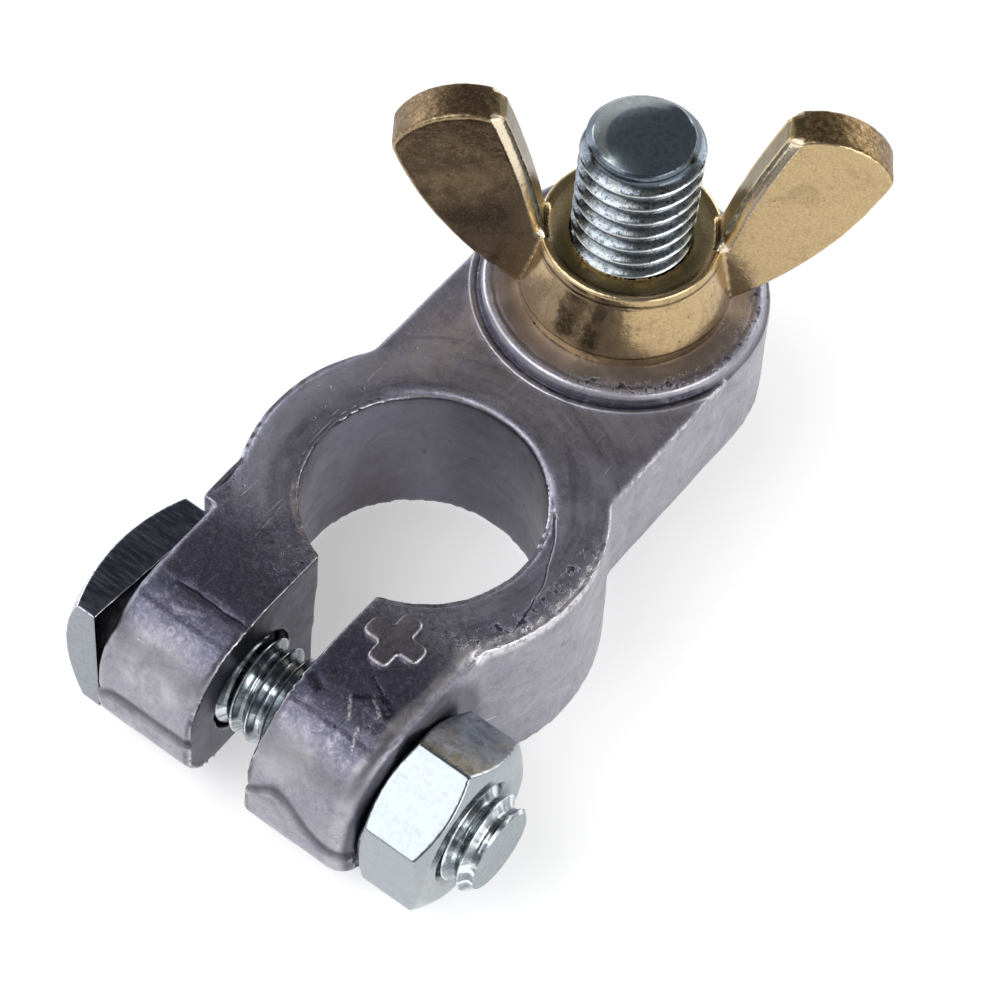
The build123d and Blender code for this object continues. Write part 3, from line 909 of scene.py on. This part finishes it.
def satin_brass(settings):
    """Satin brass with fine pits, dark granular wing tips, and painted dark reflections on one wing
    and on the hub.
    """
    f = Finish("satin_brass")
    f.fine = f.noise(0.30, 4, 0.65)
    f.broad = f.noise(2.6, 4, 0.62, 0.8)
    f.from_stud = f.from_axis(f.x, f.y, STUD_AXIS)
    f.over = f.less(f.z, wing_low.z / MM)
    f.colour = settings.brass
    f.coat(settings.brass_dark, f.ramp(f.broad, 0.50, 0.70, 0.0, 0.35))
    f.coat(settings.brass_dark, f.ramp(f.fine, 0.55, 0.75, 0.0, 0.35))
    f.pitting = f.pits(0.9, 0.16, f.ramp(f.broad, 0.46, 0.56))
    f.coat((0.16, 0.10, 0.04), f.pitting, 0.6)
    tarnish_and_wing_shade(f)
    hub_marks(f)
    sand_and_edges(f)
    rough = f.plus(
        f.ramp(f.broad, 0.3, 0.7, 0.17, 0.25), f.times(f.tips, 0.18),
        f.times(f.most(f.smudges, f.dish), 0.25),
    )
    heights = f.plus(
        f.times(f.fine, 0.4), f.times(f.noise(1.2, 3), 0.5), f.times(f.tips, f.noise(0.5, 4, 0.7)),
    )
    f.heights = f.less(heights, f.times(f.most(f.pitting, f.lines), 0.8))
    return f.finish(rough, 0.035)


# ---------------------------------------------------------------- operators

def mould_lift(v, s):
    """How far the mould's marks lift a point of the casting, and the shade of its step."""
    x, y, z = (part / MM for part in v.co)
    lift = s.waviness * noise.noise(v.co * 260) + 0.5 * s.waviness * noise.noise(v.co * 900)
    step_shade = 0.0
    if v.normal.z > 0.6 and z > 14.6:
        # the ring's top is a little crowned
        ring = math.hypot(x, y)
        part = smooth_step(9.0, 5.0, y) * smooth_step(-11.0, -7.0, y)
        lift -= s.crown * part * ((ring - 11.8) / 2.3) ** 2
        # a thin bead round the foot of the boss
        boss = math.hypot(x, y - STUD_Y)
        if z < 15.6:
            lift += 0.12 * MM * groove(boss - 11.9, 0.22) - 0.08 * MM * groove(boss - 11.45, 0.25)
        # mould crease across the head-side ear, where its nose begins
        if y < -15:
            wander = -17.25 + 0.2 * noise.noise(Vector((x * 0.6, 3.0, 0.0)))
            across_ear = smooth_step(-9.6, -8.4, x) * smooth_step(1.0, -1.0, x)
            lift -= s.crease_depth * groove(y - wander, 0.22) * across_ear
            lift -= 0.06 * MM * smooth_step(wander + 0.2, wander - 0.3, y)
    # the mould's step above the toes, on the front of both ears
    if v.normal.y < -0.25 and y < -20:
        if x < 0:
            lip = 7.15 - 1.3 * smooth_step(-9.6, -12.2, x)
        else:
            lip = 6.1 + 3.0 * groove(x - 5.6, 2.9)
        lip += 0.25 * noise.noise(Vector((x * 0.5, 9.0, 0.0)))
        lift += s.toe_step * smooth_step(lip + 0.1, lip - 0.3, z) * smooth_step(0.5, 3.0, z)
        lift -= 0.08 * MM * groove(z - lip - 0.35, 0.35)
        step_shade = groove(z - lip - 0.25, 0.50)
    return lift, step_shade


def plus_shape(size, height):
    """A raised plus, its foot sunk 0.4 mm into the casting."""
    sunk = 0.4 * MM
    arm = 0.37 * size
    mark = bmesh.new()
    bmesh.ops.create_cube(mark, size=1.0)
    bmesh.ops.scale(mark, vec=(arm, arm, height + sunk), verts=mark.verts[:])
    for face in [face for face in mark.faces if abs(face.normal.z) < 0.5]:
        way = face.normal.copy()
        pulled = bmesh.ops.extrude_face_region(mark, geom=[face])
        ends = [v for v in pulled["geom"] if isinstance(v, bmesh.types.BMVert)]
        bmesh.ops.translate(mark, vec=way * (size - arm) / 2, verts=ends)
        bmesh.ops.delete(mark, geom=[face], context="FACES_KEEP_BOUNDARY")
    bmesh.ops.recalc_face_normals(mark, faces=mark.faces[:])

    def bevel(edges, width):
        bmesh.ops.bevel(
            mark, geom=edges, offset=width, affect="EDGES", segments=4, profile=0.5, material=-1,
        )

    upright = [e for e in mark.edges if abs((e.verts[0].co - e.verts[1].co).z) > 0.1 * MM]
    outer = [e for e in upright if e.is_convex]
    inner = [e for e in upright if not e.is_convex]
    bevel(outer, 0.60 * MM)
    bevel(inner, 0.2 * MM)
    bevel([
        e for e in mark.edges if all(v.co.z > 0.1 * MM for v in e.verts)
        and len(e.link_faces) == 2 and e.calc_face_angle() > 0.9
    ], 0.30 * MM)
    x, y = MARK_PLACE
    middle = RING_TOP * MM + (height - sunk) / 2
    bmesh.ops.translate(mark, verts=mark.verts[:], vec=(x * MM, y * MM, middle))
    return mark


class CLAMP_OT_cast_body(bpy.types.Operator):
    """Build the casting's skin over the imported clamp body"""

    bl_idname = "terminal_clamp.cast_body"
    bl_label = "Cast body"

    def execute(self, context):
        s = context.scene.clamp_casting
        skin = remeshed(merged_copy("clamp_body"), s.grain, rounds=3)
        under_step = skin.verts.layers.float.new("under_step")
        noses = [
            v for v in skin.verts
            if v.co.y < -15.5 * MM and v.co.z > 11 * MM and v.normal.z > 0.12
        ]
        for _ in range(14):
            bmesh.ops.smooth_vert(
                skin, verts=noses, factor=0.5, use_axis_x=True, use_axis_y=True, use_axis_z=True,
            )
        for v in skin.verts:
            lift, v[under_step] = mould_lift(v, s)
            v.co += v.normal * lift
        skin.normal_update()
        note_edges(skin)
        body = new_piece(skin, "casting", "clamp_body", die_cast_alloy(s), sharp=80)
        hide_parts("clamp_body")
        mark = plus_shape(s.mark_size, s.mark_height)
        new_piece(mark, "plus_mark", "clamp_body", die_cast_mark(s))
        return {"FINISHED"}


class CLAMP_OT_clamp_bolt(bpy.types.Operator):
    """Build the square-headed bolt with its rolled thread"""

    bl_idname = "terminal_clamp.clamp_bolt"
    bl_label = "Clamp bolt"

    def execute(self, context):
        s = context.scene.clamp_hardware
        seat = HEAD_SEAT * MM
        skin = merged_copy("clamp_bolt")
        # the head's underside leans a little off the ear
        cut_off(skin, Vector((seat - s.head_gap, BOLT_CENTRE.y, 0)), (1, -0.065, 0))
        skin = remeshed(skin, s.grain, rounds=7)
        # a round shoulder fills the gap, and a plain bar carries the thread's start
        shoulder, bar = (
            BOLT_CENTRE + Vector((seat + past * MM, 0, 0)) for past in (-0.68, 3.8)
        )
        join_round(skin, shoulder, radius=5.0 * MM, depth=1.4 * MM, segments=64)
        join_round(skin, bar, radius=3.6 * MM, depth=8 * MM, segments=48)
        thread_into(
            skin, BOLT_CENTRE, along=(1, 0, 0), start=-7.0 * MM, end=bolt_high.x,
            radius=BOLT_CREST * MM, pitch=s.bolt_pitch, chamfer_end=0.7 * MM,
        )
        note_edges(skin)
        bolt = new_piece(skin, "square_head_bolt", "clamp_bolt", zinc_plate_bolt(s))
        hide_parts("clamp_bolt")
        return {"FINISHED"}


class CLAMP_OT_clamp_nut(bpy.types.Operator):
    """Build the hexagon nut with its countersunk mouth"""

    bl_idname = "terminal_clamp.clamp_nut"
    bl_label = "Clamp nut"

    def execute(self, context):
        s = context.scene.clamp_hardware
        skin = merged_copy("clamp_nut")
        flats_merged(skin)
        mouth_radius = 4.2 * MM
        mouth = [
            e for e in skin.edges
            if all(v.co.x > nut_high.x - 0.01 * MM for v in e.verts)
            and all((v.co - BOLT_CENTRE).yz.length < mouth_radius for v in e.verts)
        ]
        bmesh.ops.bevel(
            skin, geom=mouth, offset=s.countersink, offset_type="OFFSET", affect="EDGES",
            segments=1, profile=0.5, material=-1,
        )
        skin = remeshed(skin, s.grain, rounds=5)
        note_edges(skin)
        nut = new_piece(skin, "hexagon_nut", "clamp_nut", zinc_plate_nut(s))
        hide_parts("clamp_nut")
        return {"FINISHED"}


class CLAMP_OT_terminal_stud(bpy.types.Operator):
    """Build the terminal stud with its rolled thread"""

    bl_idname = "terminal_clamp.terminal_stud"
    bl_label = "Terminal stud"

    def execute(self, context):
        s = context.scene.clamp_hardware
        skin = merged_copy("terminal_stud")
        head_top = stud_low.z + 6.2 * MM
        cut_off(skin, Vector((0, 0, head_top)), (0, 0, 1))
        rounded_edges(skin, math.radians(30), s.edge_round)
        thread_into(
            skin, STUD_CENTRE, along=(0, 0, 1), start=stud_low.z + THREAD_START * MM,
            end=stud_high.z, radius=STUD_CREST * MM, pitch=s.stud_pitch,
            chamfer_end=0.95 * MM, steps=64,
        )
        note_edges(skin)
        stud = new_piece(skin, "threaded_stud", "clamp_body", zinc_plate_stud(s))
        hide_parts("terminal_stud")
        return {"FINISHED"}


def dress_wing_nut(skin, s):
    """Adds the collar's dish and lip, cast waves and the wings' worn inner edges."""
    worn_bevel = skin.verts.layers.float.new("worn_bevel")
    # the arc that each wing's inner edge follows, in the wings' plane
    arc_across, arc_over, arc_radius = arc_through(
        (0.56 * WING_REACH, 0.97 * WING_TALL), (0.44 * WING_REACH, 0.65 * WING_TALL), (6.49, 6.1),
    )
    turn_x, turn_y = math.cos(WING_TURN), math.sin(WING_TURN)
    for v in skin.verts:
        x, y, over = v.co.x / MM, v.co.y / MM - STUD_Y, (v.co.z - wing_low.z) / MM
        lift = 0.02 * MM * noise.noise(v.co * 420) + 0.008 * MM * noise.noise(v.co * 1500)
        out = math.hypot(x, y)
        if out < COLLAR_MOUTH and over > 4.8 and v.normal.z > 0.2:
            v.co.z = wing_low.z + COLLAR_TOP * MM - s.dish * smooth_step(COLLAR_MOUTH, 4.9, out)
        if 6.2 < out < 7.4 and 5.6 < over < 7.0:
            lift += 0.14 * MM * groove(out - 6.8, 0.35)
        if over > 15.5 and v.normal.z > 0.4:
            lift += 0.03 * MM * noise.noise(v.co * 2200)
        v.co += v.normal * lift
        along = abs(x * turn_x + y * turn_y)
        across = x * turn_y - y * turn_x
        inside = arc_radius - math.hypot(along - arc_across, over - arc_over)
        if over > 6.6 and out > COLLAR_MOUTH and -0.2 < inside * MM < s.edge_break:
            part = 1 - max(inside, 0.0) * MM / s.edge_break
            on_side = smooth_step(1.0, 1.5, abs(across)) * smooth_step(6.6, 7.6, over)
            v[worn_bevel] = smooth_step(0.9, 1.3, abs(across)) - smooth_step(1.0, 0.6, abs(across))
            side = 1 if across > 0 else -1
            v.co -= Vector((turn_y, -turn_x, 0)) * side * 0.45 * MM * part * on_side


class CLAMP_OT_wing_nut(bpy.types.Operator):
    """Build the cast wing nut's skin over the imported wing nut"""

    bl_idname = "terminal_clamp.wing_nut"
    bl_label = "Wing nut"

    def execute(self, context):
        s = context.scene.clamp_wing_nut
        skin = remeshed(merged_copy("wing_nut"), s.grain, rounds=2)
        dress_wing_nut(skin, s)
        skin.normal_update()
        note_edges(skin)
        nut = new_piece(
            skin, "brass_wing_nut", "wing_nut", satin_brass(s), sharp=60,
        )
        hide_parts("wing_nut")
        return {"FINISHED"}


def lay_floor(tone):
    """A wide pale floor just under the part, lit evenly where the camera sees it."""
    plane = bmesh.new()
    bmesh.ops.create_grid(plane, x_segments=1, y_segments=1, size=3.0)
    bmesh.ops.translate(plane, verts=plane.verts[:], vec=(0, 0, -0.06 * MM))
    mesh = bpy.data.meshes.new("studio_floor")
    plane.to_mesh(mesh)
    plane.free()
    f = Finish("studio_floor")
    f.colour = tone
    mesh.materials.append(f.finish(0.9, metallic=0.0))
    f.shader.inputs["Specular IOR Level"].default_value = 0.0
    f.shader.inputs["Emission Color"].default_value = (1, 1, 1, 1)
    seen = f.node("LightPath").outputs
    direct = f.most(seen["Is Camera Ray"], seen["Is Glossy Ray"], seen["Is Transmission Ray"])
    f.put(f.shader.inputs["Emission Strength"], f.times(direct, 0.45))
    floor = new_object("studio_floor", mesh)


def place_camera(s):
    back = Vector((
        math.sin(s.azimuth) * math.cos(s.elevation),
        -math.cos(s.azimuth) * math.cos(s.elevation),
        math.sin(s.elevation),
    ))
    right = Vector((math.cos(s.azimuth), math.sin(s.azimuth), 0))
    tilt = Matrix.Rotation(s.roll, 3, back)
    right, up = tilt @ right, tilt @ back.cross(right)
    data = bpy.data.cameras.new("camera")
    data.lens = 127.2
    data.sensor_width = 36.0
    data.shift_x = 0.0422
    data.shift_y = 0.0169
    data.clip_start = 0.01
    data.clip_end = 20.0
    camera = new_object("camera", data)
    aim = Vector((0, 4.885 * MM, 6.862 * MM))
    turn = Matrix((right, up, back)).transposed().to_4x4()
    camera.matrix_world = Matrix.Translation(aim + back * s.distance) @ turn
    bpy.context.scene.camera = camera


# Soft boxes: name, direction, width and height in metres, watts, tint.
LAMP_DISTANCE = 0.7
LAMPS = (
    ("key_box", (-0.33, -0.50, 0.80), (0.55, 0.55), 2.3, (0.99, 0.99, 1.0)),
    ("right_box", (0.90, -0.05, 0.42), (0.5, 0.35), 1.4, (1.0, 1.0, 1.0)),
    ("left_box", (-0.95, 0.05, 0.30), (0.45, 0.3), 1.2, (0.95, 0.97, 1.0)),
    ("back_box", (0.25, 0.95, 0.35), (0.6, 0.25), 1.2, (1.0, 1.0, 1.0)),
)


def hang_lamps():
    for name, way, size, watts, tint in LAMPS:
        lamp = bpy.data.lights.new(name, "AREA")
        lamp.shape = "RECTANGLE"
        lamp.size, lamp.size_y = size
        lamp.energy = watts
        lamp.color = tint
        direction = Vector(way).normalized()
        new_object(name, lamp).matrix_world = (
            Matrix.Translation(direction * LAMP_DISTANCE)
            @ direction.to_track_quat("Z", "Y").to_matrix().to_4x4()
        )


def light_world():
    """A white room that dims overhead, and plain white where the camera sees it."""
    world = bpy.data.worlds.new("studio")
    bpy.context.scene.world = world
    room = Nodes(world)
    height = room.parts(room.node("TexCoord").outputs["Generated"])["Z"]
    pick = room.node("Mix", {
        "Factor": room.node("LightPath").outputs["Is Camera Ray"],
        "A": room.ramp(height, 0.1, 0.75, 0.75, 0.15), "B": 1.0,
    })
    sky = room.nodes["Background"]
    room.put(sky.inputs["Strength"], pick.outputs["Result"])
    room.put(sky.inputs["Color"], (1, 1, 1))


class CLAMP_OT_stage(bpy.types.Operator):
    """Lay the floor and set the camera, the lamps and the world"""

    bl_idname = "terminal_clamp.stage"
    bl_label = "Stage"

    def execute(self, context):
        s = context.scene.clamp_stage
        lay_floor(tuple(s.floor))
        place_camera(s)
        hang_lamps()
        light_world()
        context.scene.view_settings.view_transform = "Standard"
        return {"FINISHED"}


STEPS = (
    CLAMP_OT_cast_body, CLAMP_OT_clamp_bolt, CLAMP_OT_clamp_nut,
    CLAMP_OT_terminal_stud, CLAMP_OT_wing_nut, CLAMP_OT_stage,
)
SETTINGS = {
    "clamp_casting": CastingSettings, "clamp_hardware": HardwareSettings,
    "clamp_wing_nut": WingNutSettings, "clamp_stage": StageSettings,
}


class CLAMP_PT_sidebar(bpy.types.Panel):
    bl_idname = "CLAMP_PT_sidebar"
    bl_label = "Battery terminal clamp"
    bl_space_type = "VIEW_3D"
    bl_region_type = "UI"
    bl_category = "Terminal Clamp"

    def draw(self, context):
        for step in STEPS:
            self.layout.operator(step.bl_idname)
        for group in (getattr(context.scene, name) for name in SETTINGS):
            box = self.layout.box()
            for name in group.bl_rna.properties.keys():
                if name not in ("rna_type", "name"):
                    box.prop(group, name)


CLASSES = (*SETTINGS.values(), *STEPS, CLAMP_PT_sidebar)


def register():
    for each in CLASSES:
        bpy.utils.register_class(each)
    for name, group in SETTINGS.items():
        setattr(bpy.types.Scene, name, PointerProperty(type=group))


def unregister():
    for name in SETTINGS:
        delattr(bpy.types.Scene, name)
    for each in reversed(CLASSES):
        bpy.utils.unregister_class(each)


def main():
    register()
    bpy.ops.terminal_clamp.cast_body()
    bpy.ops.terminal_clamp.clamp_bolt()
    bpy.ops.terminal_clamp.clamp_nut()
    bpy.ops.terminal_clamp.terminal_stud()
    bpy.ops.terminal_clamp.wing_nut()
    bpy.ops.terminal_clamp.stage()


if __name__ == "__main__":
    main()
